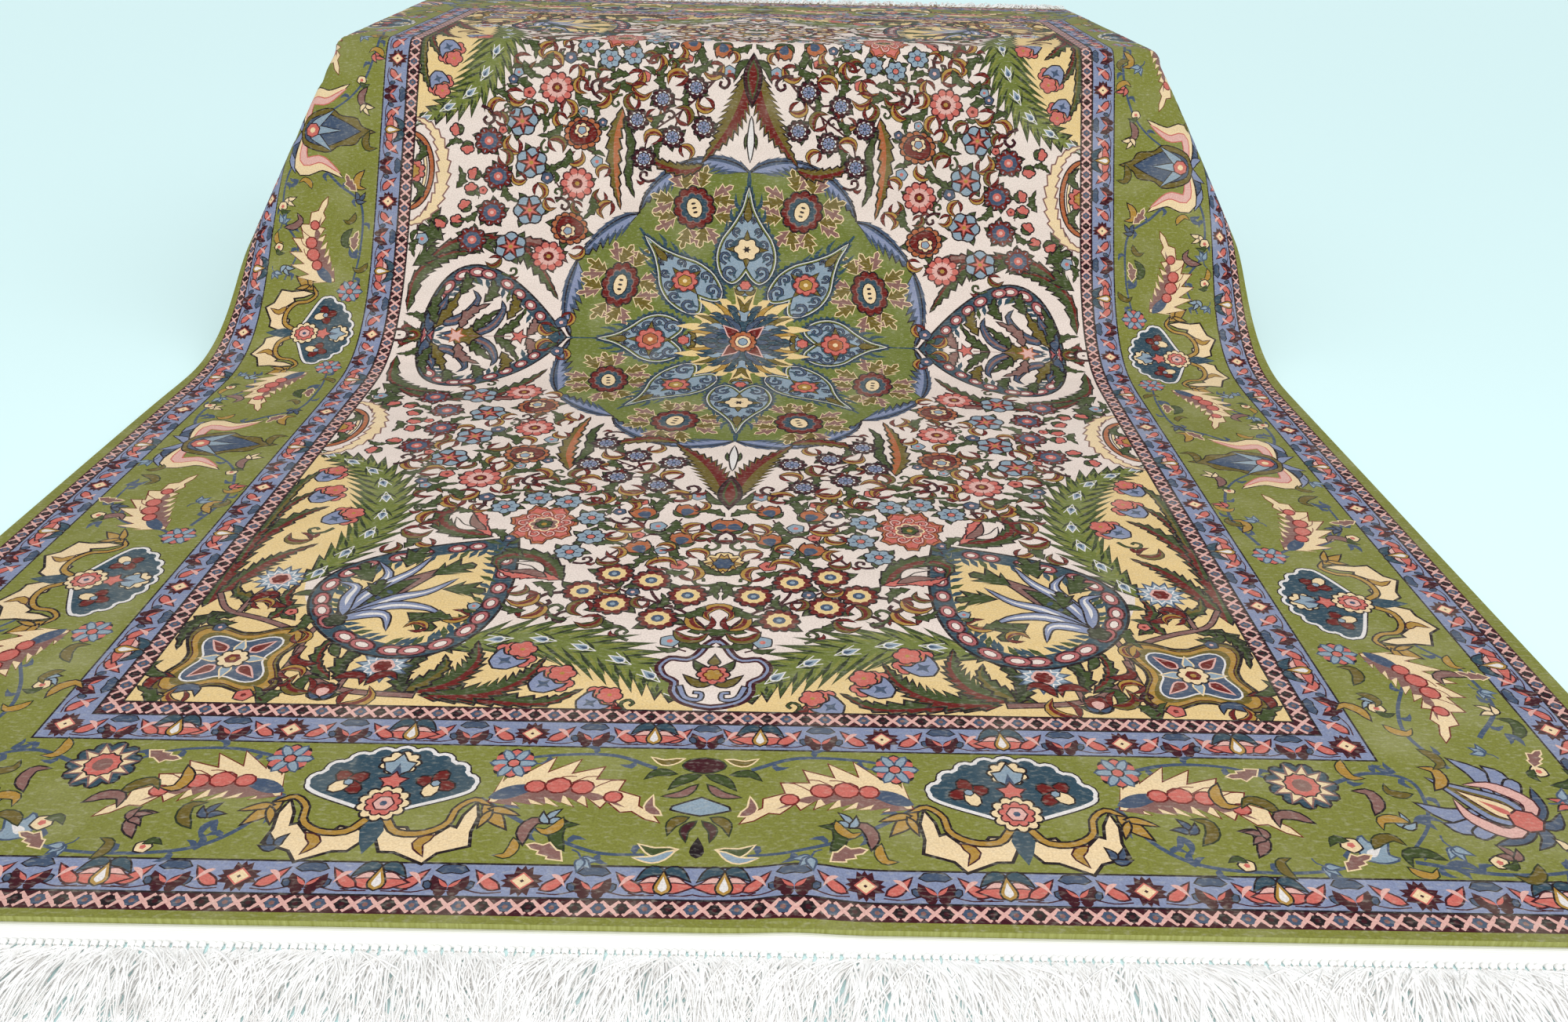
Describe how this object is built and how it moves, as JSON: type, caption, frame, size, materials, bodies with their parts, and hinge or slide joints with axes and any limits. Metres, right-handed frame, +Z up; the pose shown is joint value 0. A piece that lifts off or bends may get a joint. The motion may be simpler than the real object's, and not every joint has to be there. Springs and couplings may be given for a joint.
{
  "type": "oriental carpet draped over a low table",
  "caption": "Hand-knotted oriental pile carpet with fringed ends, lying on the floor in front and draped up and over a plain low table.",
  "frame": {"origin": "on the floor, at the carpet's flat underside, on its centre line and 0.86 m behind the front end of its pile", "axes": "+Y from the front fringe to the table, +Z up, table square to X and Y"},
  "size_m": [2.0598, 2.9363, 0.5345],
  "materials": {
    "pile": "short dense wool pile",
    "kilim": "flat-woven cotton",
    "fringe": "twisted cotton yarn",
    "table_wood": "satin"
  },
  "bodies": {
    "root": {"carpet_body": "pile", "kilim_front": "kilim", "kilim_back": "kilim", "fringe_front": "fringe", "fringe_back": "fringe", "table_top": "table_wood", "apron_front": "table_wood", "apron_back": "table_wood", "apron_left": "table_wood", "apron_right": "table_wood", "leg_front_left": "table_wood", "leg_front_right": "table_wood", "leg_back_left": "table_wood", "leg_back_right": "table_wood"}
  },
  "joints": []
}
